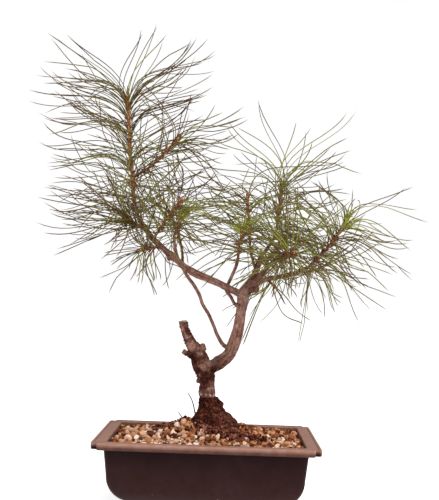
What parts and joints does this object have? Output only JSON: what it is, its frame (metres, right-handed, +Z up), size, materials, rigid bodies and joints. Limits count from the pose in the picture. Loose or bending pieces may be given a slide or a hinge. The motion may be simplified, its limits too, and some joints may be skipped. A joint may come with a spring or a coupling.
{
  "type": "pine bonsai in a pot",
  "caption": "Long-needled pine bonsai with a swept trunk, a cut-back leader and open sprays of needles, planted in coarse grit in a shallow rectangular plastic pot.",
  "frame": {"origin": "middle of the whole plant's bounding box, at the level of the pot's feet", "axes": "+Z up, +X to the viewer's right along the pot's long side, +Y away from the viewer"},
  "size_m": [0.47, 0.2874, 0.561],
  "materials": {
    "pot_plastic": "dark brown moulded plastic, slightly dusty",
    "screen_plastic": "black plastic mesh",
    "clay_grit": "baked clay and pumice grains",
    "peat": "fibrous peat and fine roots",
    "bark": "grey-brown flaking bark",
    "needles": "waxy green needles on orange-brown stems"
  },
  "bodies": {
    "root": {"pot": "pot_plastic", "drain_screen_left": "screen_plastic", "drain_screen_right": "screen_plastic", "soil_grit": "clay_grit", "root_ball": "peat", "trunk": "bark", "shoot_left_leader": "needles", "shoot_left_fore": "needles", "shoot_left_red": "needles", "shoot_left_fresh": "needles", "shoot_left_spur": "needles", "shoot_left_low": "needles", "shoot_left_back": "needles", "shoot_left_crown": "needles", "shoot_middle": "needles", "shoot_inner": "needles", "shoot_right_leader": "needles", "shoot_right_tip": "needles", "shoot_right_fore": "needles", "shoot_right_back": "needles", "shoot_right_low": "needles", "shoot_right_under": "needles"}
  },
  "joints": []
}
